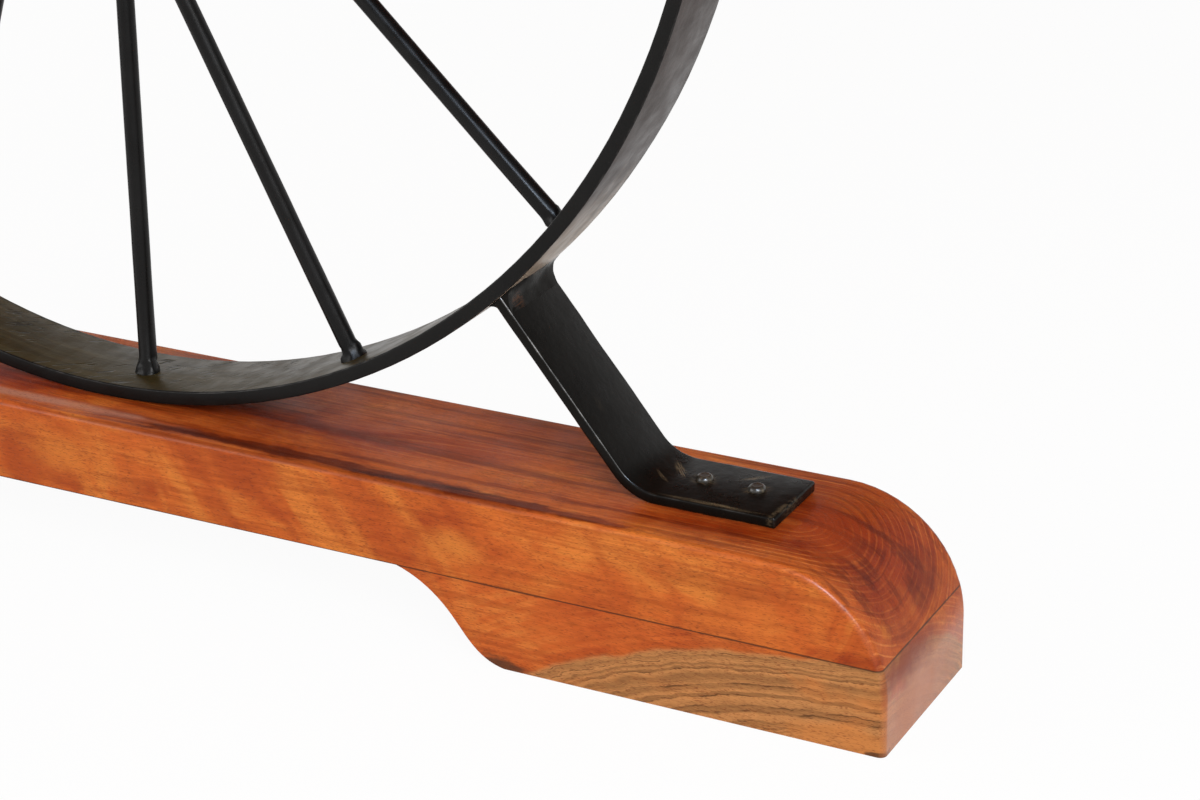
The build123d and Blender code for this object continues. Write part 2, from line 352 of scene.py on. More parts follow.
def new_group(name, inputs, outputs):
    """An empty node group with its named sockets, and a bench to fill it on."""
    group = bpy.data.node_groups.new(name, "ShaderNodeTree")
    for label, value in inputs.items():
        kind = "NodeSocketVector" if isinstance(value, tuple) else "NodeSocketFloat"
        group.interface.new_socket(label, in_out="INPUT", socket_type=kind).default_value = value
    for label in outputs:
        group.interface.new_socket(label, in_out="OUTPUT", socket_type="NodeSocketFloat")
    given = group.nodes.new("NodeGroupInput").outputs
    result = group.nodes.new("NodeGroupOutput").inputs
    return group, Bench(group), given, result


def make_growth_rings():
    """Wood's growth layers: long and straight to one side of a tip, closing round it on the other."""
    group, bench, given, result = new_group(
        "growth_rings",
        {"Place": origin, "Tip": origin, "Stretch": 8.0, "Ring Width": 0.004, "Wobble": 0.01},
        ("Rings", "Fibre", "Distance"),
    )
    place = given["Place"]
    middle_grey = (0.5, 0.5, 0.5)
    slow = bench.vector("SUBTRACT", bench.noise(place, (5.0, 14.0, 14.0), 1.0, output="Color"), middle_grey)
    quick = bench.vector("SUBTRACT", bench.noise(place, (30.0, 80.0, 80.0), output="Color"), middle_grey)
    bend = bench.vector("ADD", slow, bench.vector("SCALE", quick, 0.14))
    bent = bench.vector("ADD", place, bench.vector("SCALE", bend, given["Wobble"]))
    away = bench.split(bench.vector("SUBTRACT", bent, given["Tip"]))
    ahead = bench.math("MAXIMUM", away["X"], 0.0)
    behind = bench.math("DIVIDE", bench.math("MINIMUM", away["X"], 0.0), given["Stretch"])
    distance = bench.vector("LENGTH", bench.gather(bench.math("ADD", ahead, behind), away["Y"], away["Z"]))
    along = bench.gather(
        bench.times(away["X"], 22.0), bench.times(distance, 1500.0), bench.times(away["Z"], 60.0)
    )
    bench.feed(result["Rings"], bench.bands(distance, given["Ring Width"]))
    bench.feed(result["Fibre"], bench.noise(along, 1.0, 2.0, 0.6))
    bench.feed(result["Distance"], distance)
    return group


def make_pores():
    """Short dark vessels that lie along the grain."""
    group, bench, given, result = new_group(
        "pores", {"Place": origin, "Length": 0.003, "Width": 0.0004, "Amount": 0.5}, ("Pores",)
    )
    size = bench.gather(given["Length"], given["Width"], given["Width"])
    dashes = bench.noise(bench.vector("DIVIDE", given["Place"], size), 1.0, 1.0, 0.4)
    crowd = bench.noise(given["Place"], (18.0, 60.0, 60.0))
    level = bench.add_share(given["Amount"], -0.14, 0.86)
    level = bench.add_share(crowd, -0.16, level)
    bench.feed(result["Pores"], bench.between(dashes, level, bench.math("ADD", level, 0.05)))
    return group


def make_patch():
    """A soft-edged patch at one place."""
    group, bench, given, result = new_group(
        "patch",
        {"Place": origin, "Middle": origin, "Size": (0.01, 0.01, 0.01), "Softness": 0.6, "Raggedness": 0.3},
        ("Patch",),
    )
    away = bench.vector("DIVIDE", bench.vector("SUBTRACT", given["Place"], given["Middle"]), given["Size"])
    rough = bench.math("SUBTRACT", bench.noise(given["Place"], (60.0, 160.0, 160.0), 3.0, 0.6), 0.5)
    reach = bench.add_share(bench.times(rough, given["Raggedness"]), 2.0, bench.vector("LENGTH", away))
    start = bench.math("SUBTRACT", 1.0, given["Softness"])
    bench.feed(result["Patch"], bench.between(reach, start, 1.0, 1.0, 0.0))
    return group


def make_edge_wear():
    """The rounding between a bar's broad faces and its two sides, whole and in broken stretches."""
    group, bench, given, result = new_group("edge_wear", {"Place": origin, "Broken": 0.5}, ("Edge", "Wear"))
    lean = bench.math("ABSOLUTE", bench.facing()["Y"])
    edge = bench.times(bench.between(lean, 0.14, 0.38), bench.between(lean, 0.98, 0.90))
    gaps = bench.noise(given["Place"], 110.0, 4.0, 0.65)
    kept = bench.between(gaps, bench.add_share(given["Broken"], 0.3, 0.34), 0.66)
    bench.feed(result["Edge"], edge)
    bench.feed(result["Wear"], bench.times(edge, kept))
    return group


growth_rings = make_growth_rings()
pores = make_pores()
patch = make_patch()
edge_wear = make_edge_wear()


# ---------------------------------------------------------------- wood

# Tones are linear red, green and blue
ring_tone = (0.62, 0.20, 0.045)
seam_tone = (0.035, 0.016, 0.008)
glue_tone = (0.030, 0.012, 0.006)


def new_finish(name):
    finish = bpy.data.materials.new(name)
    finish.use_nodes = True
    return finish, Bench(finish.node_tree), finish.node_tree.nodes["Principled BSDF"]


def shade(tone, strength):
    return tuple(strength * part for part in tone)


class WoodFinish(Bench):
    """A bench on which clear lacquer over wood is laid, one layer at a time."""

    def __init__(self, name, tones, growth, turn, shift):
        self.finish, bench, self.shader = new_finish(name)
        super().__init__(bench.tree)
        self.dark, self.middle, self.light, self.pore = tones
        self.tip_x = growth["Tip"][0]
        standing = self.object_place()
        self.standing = self.split(standing)
        self.place = self.turned(standing, (0.0, 0.0, turn), shift)
        self.across = self.split(self.place)
        facing = self.facing()
        self.upward = self.between(facing["Z"], 0.15, 0.75)
        self.sideways = self.between(self.math("ABSOLUTE", facing["X"]), 0.3, 0.9)
        self.figure = self.use(growth_rings, {"Place": self.place, **growth})
        self.clouds = self.noise(self.place, (13.0, 26.0, 32.0), 3.0, 0.55, distortion=1.1)

    def lay(self, share, tone, way="MIX"):
        """Covers the colour so far with a share of one tone."""
        self.colour = self.blend(share, self.colour, tone, way)

    def lay_ground(self, rings):
        """Clouds, mottle and growth rings, from the dark tone up to the light one."""
        mottle = self.noise(self.place, (45.0, 90.0, 110.0), 4.0, 0.68)
        tone = self.add_share(self.math("SUBTRACT", self.figure["Rings"], 0.5), 0.40 * rings, self.clouds)
        tone = self.add_share(self.math("SUBTRACT", mottle, 0.5), 0.45, tone)
        self.colour = self.blend(self.between(tone, 0.26, 0.50), self.dark, self.middle)
        self.lay(self.between(tone, 0.50, 0.76), self.light)

    def lay_flames(self):
        """Soft leaning flames, light and dark, on upright faces and weaker near the board's end."""
        leaning = self.turned(self.place, (0.0, 0.55, 0.0))
        flame = self.noise(leaning, (30.0, 14.0, 9.0), 3.0, distortion=0.9)
        upright = self.math("SUBTRACT", 1.0, self.upward)
        upright = self.times(upright, self.between(self.across["X"], 0.30, 0.14, 0.35, 1.0))
        self.lay(self.times(self.between(flame, 0.50, 0.66), upright, 0.80), self.light)
        self.lay(self.times(self.between(flame, 0.48, 0.36), upright, 0.85), self.dark)

    def lay_runs(self):
        """Thin dark runs along the whole board, strongest on upright faces."""
        runs = self.noise(self.place, (7.0, 150.0, 210.0), 4.0, 0.65, distortion=0.6)
        weaker = self.between(self.upward, 0.0, 1.0, 0.45, 0.1)
        self.lay(self.times(self.between(runs, 0.50, 0.64), weaker), shade(self.dark, 0.8))

    def lay_sapwood(self, reach, tone, line_tone):
        """Pale sapwood within a ragged reach of the growth's tip, with broken dark lines."""
        distance = self.figure["Distance"]
        jitter = self.noise(self.place, (70.0, 110.0, 110.0), 3.0, 0.6)
        layers = self.add_share(jitter, 0.0045, distance)
        ragged = self.add_share(self.clouds, 0.010, self.add_share(jitter, 0.003, distance))
        inside = self.between(ragged, reach + 0.0055, reach + 0.0085, 1.0, 0.0)
        grain = self.bands(layers, 0.0034, 3.0, 0.7)
        sapwood = self.blend(self.between(grain, 0.36, 0.62), tone, shade(tone, 0.62))
        sapwood = self.blend(self.between(self.clouds, 0.48, 0.72, 0.0, 0.55), sapwood, self.light)
        lines = self.between(self.bands(layers, 0.0013, 1.0, 0.5), 0.60, 0.66)
        broken = self.noise(self.place, (34.0, 160.0, 220.0), 4.0, 0.72)
        weaker = self.add_share(self.sideways, -0.6, 0.75)
        lines = self.times(lines, self.between(broken, 0.45, 0.56), weaker)
        self.lay(inside, self.blend(lines, sapwood, line_tone))

    def lay_end_rings(self, rings):
        """Thin bright rings and deep dark ones, clearest by the growth's tip."""
        distance = self.figure["Distance"]
        tip_near = self.between(self.across["X"], self.tip_x - 0.09, self.tip_x + 0.01, 0.30, 1.0)
        gaps = self.noise(self.place, (26.0, 60.0, 60.0))
        spacing = self.times(self.bands(distance, 0.012), 16.0)
        wave = self.math("SINE", self.add_share(distance, 2300.0, spacing))
        bright = self.times(self.between(wave, 0.72, 0.93), self.between(gaps, 0.36, 0.56, 0.25, 1.0))
        ends = self.math("MAXIMUM", self.upward, self.times(self.sideways, 0.7))
        self.lay(self.times(bright, tip_near, ends, 0.85 * rings), ring_tone)
        deep = self.between(self.bands(distance, 0.0022, 2.0, 0.5), 0.44, 0.36)
        deep = self.times(deep, self.between(gaps, 0.62, 0.42), tip_near)
        deep = self.times(deep, self.add_share(self.upward, 0.7, 0.3), 0.30 * rings)
        self.lay(deep, self.pore, "MULTIPLY")

    def lay_streaks(self, share):
        """Dark streaks on upper faces."""
        drawn = self.noise(self.place, (6.0, 150.0, 60.0), 5.0, 0.68)
        self.lay(self.times(self.between(drawn, 0.49, 0.62), self.upward, share), shade(self.dark, 0.50))

    def comb(self):
        """Fine wavy fibres, light and dark by turns, with upper faces painted a little lighter as painted
        light.
        """
        wave = self.times(self.noise(self.place, 45.0), 0.004)
        wavy = self.vector("ADD", self.place, self.gather(0.0, wave, wave))
        fibres = self.noise(wavy, (130.0, 1000.0, 1000.0), 2.0, 0.6)
        fine = self.times(
            self.add_share(fibres, 0.62, 0.69),
            # Painted light: upper faces a little lighter
            self.add_share(self.upward, 0.12, 1.0),
            self.add_share(self.figure["Fibre"], 0.16, 0.92),
        )
        self.colour = self.vector("SCALE", self.colour, fine)

    def lay_marks(self, marks):
        # Some marks are painted shade and one is a painted highlight, besides real marks
        for middle, size, softness, raggedness, tone, share, way in marks:
            shape = {"Middle": middle, "Size": size, "Softness": softness, "Raggedness": raggedness}
            spot = self.use(patch, {"Place": self.place, **shape})["Patch"]
            self.lay(self.times(spot, share), tone, way)

    def lay_pores(self):
        shape = {"Length": 0.0020, "Width": 0.00030, "Amount": 1.25}
        self.dots = self.use(pores, {"Place": self.place, **shape})["Pores"]
        self.lay(self.times(self.dots, 0.5), self.pore)

    def lay_seam(self):
        """The dark, uneven joint between a beam and its foot."""
        off = self.math("ABSOLUTE", self.math("SUBTRACT", self.across["Z"], board_thickness))
        wide = self.noise(self.place, 40.0, 3.0, 0.7)
        line = self.between(off, self.times(wide, 0.0004), self.times(wide, 0.0011), 1.0, 0.0)
        self.lay(self.times(line, 0.8), seam_tone)

    def lay_glue_lines(self, half_width):
        """Dark lines where planks meet, but none on the top's own long sides."""
        edge = table_width / 2
        off = self.math("SUBTRACT", half_width, self.math("ABSOLUTE", self.across["Y"]))
        inner = self.between(self.math("ABSOLUTE", self.standing["X"]), edge - 0.0025, edge - 0.0035)
        self.lay(self.times(self.between(off, 0.0022, 0.0010), inner, 0.8), glue_tone)

    def lacquer(self):
        """Gloss on rounded edges and low ends, over a slight ripple."""
        inputs = self.shader.inputs
        gloss = self.noise(self.place, 55.0, 3.0)
        low = self.between(self.standing["Z"], 0.016, 0.042, 0.60, 0.0)
        coat = self.math("MAXIMUM", self.times(self.upward, 0.06), self.times(self.sideways, low))
        edge = self.use(edge_wear, {"Place": self.place, "Broken": 0.5})["Edge"]
        ripple = self.noise(self.place, (14.0, 45.0, 45.0))
        height = self.add_share(self.dots, -0.25, ripple)
        bump = self.put("ShaderNodeBump", {"Height": height, "Strength": 0.3, "Distance": 0.0010})
        self.feed(inputs["Base Color"], self.colour)
        self.feed(inputs["Roughness"], self.between(gloss, 0.3, 0.7, 0.34, 0.48))
        self.feed(inputs["Coat Weight"], self.math("MAXIMUM", coat, self.times(edge, 0.28)))
        self.feed(inputs["Normal"], bump.outputs[0])
        inputs["Coat Roughness"].default_value = 0.25
        inputs["Specular IOR Level"].default_value = 0.10


def lacquered_wood(
    name, tones, growth, marks=(), rings=1.0, streaks=0.7, sap=None, seam=False, sides=0.0, turn=0.0,
    shift=origin
):
    """A board's finish.

    tones: dark, middle, light and pore. sap: reach, tone and line tone. sides: half a glued plank's width.
    turn and shift bring the board to where the growth's tip and the marks are given.
    """
    wood = WoodFinish(name, tones, growth, turn, shift)
    wood.lay_ground(rings)
    wood.lay_flames()
    wood.lay_runs()
    if sap:
        wood.lay_sapwood(*sap)
    wood.lay_end_rings(rings)
    wood.lay_streaks(streaks)
    wood.comb()
    wood.lay_marks(marks)
    wood.lay_pores()
    if seam:
        wood.lay_seam()
    if sides:
        wood.lay_glue_lines(sides)
    wood.lacquer()
    return wood.finish


def grown(tip, stretch, ring_width, wobble):
    """How a board's tree grew, as values for the growth rings."""
    return {"Tip": tip, "Stretch": stretch, "Ring Width": ring_width, "Wobble": wobble}


beam_tones = ((0.33, 0.056, 0.0100), (0.445, 0.095, 0.0155), (0.56, 0.170, 0.029), (0.12, 0.022, 0.006))
foot_tones = ((0.33, 0.055, 0.010), (0.440, 0.092, 0.016), (0.54, 0.155, 0.029), (0.12, 0.022, 0.006))
top_tones = ((0.16, 0.028, 0.008), (0.36, 0.08, 0.018), (0.52, 0.15, 0.035), (0.09, 0.02, 0.006))
sapwood = (0.139, (0.42, 0.182, 0.060), (0.070, 0.028, 0.011))
beam_growth = grown((0.335, -0.688, 0.066), 24.0, 0.0040, 0.010)
foot_growth = grown((0.400, -0.725, -0.100), 1.77, 0.0040, 0.004)
long_growth = grown((0.95, -0.700, -0.060), 14.0, 0.0045, 0.010)
cleat_growth = grown((0.9, -0.7, 0.6), 8.0, 0.005, 0.012)

# Marks on the front beam and its right foot, among them painted shade and a painted highlight: place, reach,
# softness, raggedness, tone, share, way
beam_marks_and_painted_light = (
    ((0.356, -0.674, 0.062), (0.115, 0.056, 0.046), 0.8, 0.15, (0.53, 0.27, 0.12), 0.95, "MULTIPLY"),
    # Painted shade: the top darker and redder behind the wheel's rim
    ((-0.05, -0.69, 0.0765), (0.1, 0.045, 0.005), 0.8, 0.5, (1.0, 0.66, 0.42), 0.9, "MULTIPLY"),
    ((0.345, -0.69, 0.072), (0.03, 0.024, 0.01), 0.9, 0.2, (0.4, 0.055, 0.01), 0.5, "MIX"),
    ((0.12, -0.718, 0.0762), (0.11, 0.005, 0.004), 0.45, 0.9, (0.22, 0.08, 0.045), 0.75, "MULTIPLY"),
    ((0.215, -0.7205, 0.0755), (0.075, 0.0036, 0.004), 0.4, 0.9, (0.3, 0.12, 0.07), 0.7, "MULTIPLY"),
    ((0.19, -0.709, 0.0765), (0.11, 0.0028, 0.004), 0.6, 0.8, (0.36, 0.18, 0.12), 0.55, "MULTIPLY"),
    # Painted shade on the top under the wheel's rim, partly a dark streak
    ((0.12, -0.685, 0.0765), (0.09, 0.025, 0.004), 0.9, 0.5, (0.62, 0.42, 0.36), 0.8, "MULTIPLY"),
    ((0.305, -0.706, 0.074), (0.07, 0.015, 0.01), 0.9, 0.5, (0.56, 0.28, 0.14), 0.9, "MULTIPLY"),
    ((0.368, -0.705, 0.058), (0.05, 0.017, 0.03), 0.9, 0.4, (0.58, 0.34, 0.2), 0.85, "MULTIPLY"),
    ((0.06, -0.714, 0.0765), (0.12, 0.006, 0.004), 0.7, 0.9, (0.6, 0.36, 0.22), 0.7, "MULTIPLY"),
    # Painted shade on the top under the wheel's rim, partly a dark streak
    ((0.05, -0.69, 0.0765), (0.13, 0.022, 0.004), 0.9, 0.5, (0.55, 0.32, 0.16), 0.8, "MULTIPLY"),
    # Painted shade on the top behind the wheel's rim
    ((-0.06, -0.7, 0.0765), (0.08, 0.012, 0.004), 0.8, 0.6, (0.5, 0.28, 0.14), 0.8, "MULTIPLY"),
    ((0.381, -0.668, 0.052), (0.016, 0.02, 0.016), 0.9, 0.5, (0.35, 0.3, 0.3), 0.5, "MULTIPLY"),
    ((0.388, -0.712, 0.052), (0.009, 0.007, 0.011), 0.9, 0.6, (0.66, 0.21, 0.03), 0.7, "MIX"),
    # Painted highlight: a pale pinkish streak along the top's front edge
    ((-0.03, -0.7145, 0.0765), (0.09, 0.005, 0.004), 0.7, 0.4, (0.55, 0.26, 0.17), 0.7, "MIX"),
    ((0.195, -0.725, 0.052), (0.022, 0.004, 0.012), 1.0, 0.5, (0.58, 0.2, 0.035), 0.6, "MIX"),
    ((-0.008, -0.725, 0.056), (0.03, 0.004, 0.018), 1.0, 0.5, (0.56, 0.18, 0.03), 0.5, "MIX"),
    ((0.31, -0.7245, 0.06), (0.06, 0.005, 0.005), 0.9, 0.6, (0.62, 0.5, 0.48), 0.7, "MULTIPLY"),
    ((0.388, -0.7245, 0.041), (0.046, 0.006, 0.005), 0.9, 0.5, (0.6, 0.42, 0.4), 0.8, "MULTIPLY"),
)
foot_marks = (
    ((0.215, -0.725, 0.001), (0.015, 0.01, 0.006), 0.6, 0.8, (0.06, 0.028, 0.014), 0.85, "MIX"),
    ((0.378, -0.725, 0.004), (0.05, 0.01, 0.009), 0.8, 0.6, (0.5, 0.18, 0.045), 0.75, "MIX"),
    ((0.386, -0.7245, 0.0005), (0.006, 0.008, 0.0022), 0.4, 1.0, (0.03, 0.014, 0.008), 0.8, "MIX"),
    ((0.389, -0.69, 0.01), (0.004, 0.065, 0.03), 0.8, 0.3, (0.4, 0.12, 0.035), 0.85, "MIX"),
    ((0.389, -0.712, 0.026), (0.004, 0.012, 0.006), 0.9, 0.8, (0.55, 0.12, 0.03), 0.8, "MIX"),
    ((0.389, -0.7, 0.034), (0.004, 0.05, 0.016), 0.8, 0.4, (0.2, 0.034, 0.012), 0.9, "MIX"),
)
beam_wood = {
    FRONT: lacquered_wood("beam_wood_front", beam_tones, beam_growth, beam_marks_and_painted_light, seam=True),
    BACK: lacquered_wood(
        "beam_wood_back", beam_tones, beam_growth, seam=True, turn=math.pi, shift=(0.02, 0.004, 0.0)
    ),
}
foot_wood = {
    (FRONT, RIGHT): lacquered_wood(
        "foot_wood_front_right", foot_tones, foot_growth, foot_marks, rings=0.8, sap=sapwood, seam=True
    ),
    (FRONT, LEFT): lacquered_wood("foot_wood_front_left", foot_tones, long_growth, seam=True),
    (BACK, RIGHT): lacquered_wood(
        "foot_wood_back_right", foot_tones, long_growth, seam=True, shift=(0.2, 1.39, 0.0)
    ),
    (BACK, LEFT): lacquered_wood("foot_wood_back_left", foot_tones, long_growth, seam=True, turn=math.pi),
}


# ---------------------------------------------------------------- iron

hammer_tone = (0.006, 0.005, 0.003)
rolled_tone = (0.10, 0.078, 0.035)
# Pale tone of a rim's lower outside: partly dust, partly painted sheen
dust_and_sheen_tone = (0.32, 0.25, 0.185)
brown_metal = (0.15, 0.108, 0.062)
grey_metal = (0.15, 0.13, 0.10)
bar_black = (0.0055, 0.0046, 0.0036)


def lay_scuffs_and_highlights(bench, place, colour, scuffs):
    """Brushed marks and painted highlights, each with its place, reach, turn, strength and tone."""
    for middle, size, angle, strength, tone in scuffs:
        near = bench.turned(bench.vector("SUBTRACT", place, middle), (0.0, 0.0, angle))
        near = bench.vector("DIVIDE", near, size)
        hairs = bench.noise(near, (1.1, 8.0, 8.0), 3.0, 0.65)
        spot = bench.between(bench.vector("LENGTH", near), 1.0, 0.35)
        colour = bench.blend(bench.times(spot, bench.between(hairs, 0.45, 0.56), strength), colour, tone)
    return colour


def black_paint(
    name, tone, roughness, wear_tone, wear_share, specular, shine=0.0, scuffs=(), extra=None, lumps=0.25,
    sheen_tint=(1.0, 1.0, 1.0)
):
    """Satin black paint on iron, rubbed and shiny at its edges, with small lumps under it.

    extra: a function that adds to the colour on the same bench and gives grooves, or None, to cut.
    """
    finish, bench, shader = new_finish(name)
    place = bench.object_place()
    uneven = bench.noise(place, 30.0, 3.0)
    colour = bench.blend(bench.between(uneven, 0.3, 0.7), shade(tone, 0.7), tone)
    grooves = None
    if extra:
        colour, grooves = extra(bench, place, colour)
    worn = bench.use(edge_wear, {"Place": place, "Broken": 0.35})
    colour = bench.blend(bench.times(worn["Wear"], wear_share), colour, wear_tone)
    specks = bench.between(bench.noise(place, 620.0), 0.68, 0.74)
    crowd = bench.between(bench.noise(place, 60.0), 0.50, 0.62)
    colour = bench.blend(bench.times(specks, crowd, wear_share), colour, wear_tone)
    bench.feed(shader.inputs["Base Color"], lay_scuffs_and_highlights(bench, place, colour, scuffs))
    gloss = bench.noise(place, 90.0, 3.0)
    bench.feed(shader.inputs["Roughness"], bench.between(gloss, 0.3, 0.7, roughness - 0.06, roughness + 0.08))
    if shine:
        streak = bench.add_share(worn["Wear"], 0.8, bench.times(worn["Edge"], 0.2))
        bench.feed(shader.inputs["Coat Weight"], bench.times(streak, shine))
        shader.inputs["Coat Roughness"].default_value = 0.13
    height = bench.noise(place, 260.0, 3.0, 0.55)
    bump = bench.put("ShaderNodeBump", {"Height": height, "Strength": lumps, "Distance": 0.0006})
    if grooves:
        cut = {"Height": grooves, "Normal": bump.outputs[0], "Strength": 1.0, "Distance": -0.0006}
        bump = bench.put("ShaderNodeBump", cut)
    bench.feed(shader.inputs["Normal"], bump.outputs[0])
    shader.inputs["Specular IOR Level"].default_value = specular
    shader.inputs["Specular Tint"].default_value = (*sheen_tint, 1.0)
    return finish


def hammer_dashes(bench, place, colour):
    """Short slanted hammer marks and long roller marks, laid round the inside of a wheel's rim."""
    parts = bench.split(place)
    drop = bench.math("SUBTRACT", wheel_height, parts["Z"])
    around = bench.times(bench.math("ARCTAN2", parts["X"], drop), wheel_radius)
    laid = bench.gather(around, parts["Y"], 0.0)
    dashes = bench.noise(bench.turned(laid, (0.0, 0.0, -0.77)), (80.0, 430.0, 1.0), 1.0, 0.4)
    crowd = bench.noise(laid, (18.0, 40.0, 1.0))
    low = bench.between(bench.math("ABSOLUTE", around), 0.14, 0.05)
    dashes = bench.times(bench.between(dashes, 0.60, 0.65), bench.between(crowd, 0.42, 0.54), low)
    rolled = bench.noise(laid, (14.0, 260.0, 1.0), 3.0, 0.6)
    colour = bench.blend(dashes, colour, hammer_tone)
    return bench.blend(bench.between(rolled, 0.42, 0.66, 0.0, 0.30), colour, rolled_tone), dashes


def dust_and_sheen_low(bench, place, colour):
    """Lighter paint on the lower outside of a wheel's rim, partly dust and partly painted sheen."""
    ragged_height = bench.noise(place, (20.0, 160.0, 20.0), 3.0, 0.6)
    level = bench.add_share(ragged_height, 0.05, bench.split(place)["Z"])
    # Paler towards the bottom: partly dust, partly painted sheen
    return bench.blend(bench.between(level, 0.24, 0.185, 0.0, 0.95), colour, dust_and_sheen_tone), None


# Scuffs on the front right bracket, and a painted highlight on its upper weld: place, reach, turn, strength,
# tone
foot_scuffs = (
    ((0.2745, -0.672, 0.082), (0.009, 0.0026, 0.006), 0.9, 1.0, brown_metal),
    ((0.271, -0.682, 0.082), (0.006, 0.0012, 0.006), 0.6, 0.8, brown_metal),
    ((0.2873, -0.6758, 0.081), (0.008, 0.007, 0.006), 0.4, 0.55, brown_metal),
    ((0.311, -0.6758, 0.081), (0.008, 0.0066, 0.006), 2.2, 0.55, brown_metal),
    ((0.306, -0.666, 0.081), (0.009, 0.0018, 0.006), 2.4, 0.9, brown_metal),
    ((0.3275, -0.688, 0.079), (0.0022, 0.02, 0.005), 0.1, 0.45, brown_metal),
    ((0.3, -0.696, 0.081), (0.028, 0.0014, 0.006), 0.0, 0.9, brown_metal),
    ((0.237, -0.682, 0.105), (0.01, 0.005, 0.01), 0.3, 0.2, brown_metal),
)
weld_scuffs_and_highlight = (
    # Painted highlight: a lighter grey streak on the upper weld
    ((0.214, -0.666, 0.164), (0.009, 0.022, 0.008), 0.3, 0.75, grey_metal),
    ((0.207, -0.69, 0.152), (0.006, 0.008, 0.006), math.pi / 2, 0.6, (0.09, 0.035, 0.015)),
)
rim_inner_paint = black_paint(
    "rim_inner_paint", (0.036, 0.026, 0.008), 0.38, (0.10, 0.08, 0.05), 0.1, 0.23, extra=hammer_dashes,
    sheen_tint=(1.0, 0.86, 0.60)
)
rim_outer_paint = black_paint(
    "rim_outer_paint", (0.034, 0.022, 0.019), 0.38, (0.10, 0.08, 0.06), 0.1, 0.24, extra=dust_and_sheen_low,
    sheen_tint=(1.0, 0.91, 0.86)
)
rim_edge_paint = black_paint(
    "rim_edge_paint", (0.006, 0.0055, 0.005), 0.40, (0.10, 0.09, 0.08), 0.15, 0.12, shine=0.25
)
hub_paint = black_paint("hub_paint", (0.010, 0.0095, 0.0085), 0.38, (0.12, 0.10, 0.08), 0.3, 0.35)
bar_paint = black_paint("bar_paint", bar_black, 0.30, brown_metal, 0.04, 0.08, shine=1.0, scuffs=foot_scuffs)
weld_paint = black_paint("weld_paint", bar_black, 0.30, grey_metal, 0.1, 0.08, shine=0.3, scuffs=weld_scuffs_and_highlight)
spoke_paint = black_paint(
    "spoke_paint", (0.0060, 0.0055, 0.0052), 0.30, (0.10, 0.07, 0.05), 0.0, 0.14, lumps=0.06
)
screw_steel = black_paint("screw_steel", (0.030, 0.024, 0.017), 0.26, (0.24, 0.19, 0.12), 0.6, 0.6)


# ---------------------------------------------------------------- wheels

def make_rim():
    """Flat bar rolled into a hoop, with eased edges."""
    foot = front_wheel_centre - Vector((0.0, 0.0, wheel_radius - rim_thickness / 2))
    rim = bar_section(rim_thickness, rim_width, foot)
    open_up(rim)
    pick_all()
    bpy.ops.mesh.bevel(offset=rim_edge_round, segments=3, affect="VERTICES")
    pick_all()
    bpy.ops.mesh.spin(steps=180, angle=2 * math.pi, center=front_wheel_centre, axis=(0.0, 1.0, 0.0))
    pick_all()
    bpy.ops.mesh.remove_doubles(threshold=1e-5)
    pick_faces(rim, lambda middle, normal: (middle - foot).length < 1e-4)
    bpy.ops.mesh.delete(type="ONLY_FACE")
    close_up()
    tidy_mesh(rim, 50.0)
    hand_worked(rim, size=0.05, depth=0.0004)
    rim.name = "rim_front"
    return rim


def paint_rim(rim):
    """One paint inside the hoop, one outside and one on its two edges."""
    for finish in (rim_inner_paint, rim_outer_paint, rim_edge_paint):
        rim.data.materials.append(finish)
    open_up(rim)
    pick_faces(rim, lambda middle, normal: normal.x * middle.x + normal.z * (middle.z - wheel_height) > 0.0)
    rim.active_material_index = 1
    bpy.ops.object.material_slot_assign()
    pick_faces(rim, lambda middle, normal: abs(normal.y) > 0.2)
    rim.active_material_index = 2
    bpy.ops.object.material_slot_assign()
    close_up()


def spoke_stand(index):
    """Brings a spoke that hangs from the origin along -Z to its place in the front wheel."""
    even = first_spoke_angle + 360.0 / spoke_count * index
    at_rim = even + spoke_wander * math.sin(math.radians(wander_start + wander_step * index))
    stray = hub_lead + hub_wander * math.sin(math.radians(hub_wander_start + hub_wander_step * index))
    rim_angle, hub_angle = math.radians(at_rim), math.radians(at_rim + stray)
    rake = spoke_rake if index % 2 else -spoke_rake
    rim_way = Vector((math.sin(rim_angle), 0.0, -math.cos(rim_angle)))
    hub_way = Vector((math.sin(hub_angle), 0.0, -math.cos(hub_angle)))
    rim_end = front_wheel_centre + rim_way * (wheel_radius - rim_thickness)
    hub_end = front_wheel_centre + hub_way * (hub_radius - spoke_radius) + Vector((0.0, FRONT * rake, 0.0))
    along = (rim_end - hub_end).normalized()
    across = Vector((0.0, 1.0, 0.0)).cross(along).normalized()
    turn = Matrix((across, along.cross(across), along)).transposed().to_4x4()
    return Matrix.Translation(rim_end) @ turn, (rim_end - hub_end).length


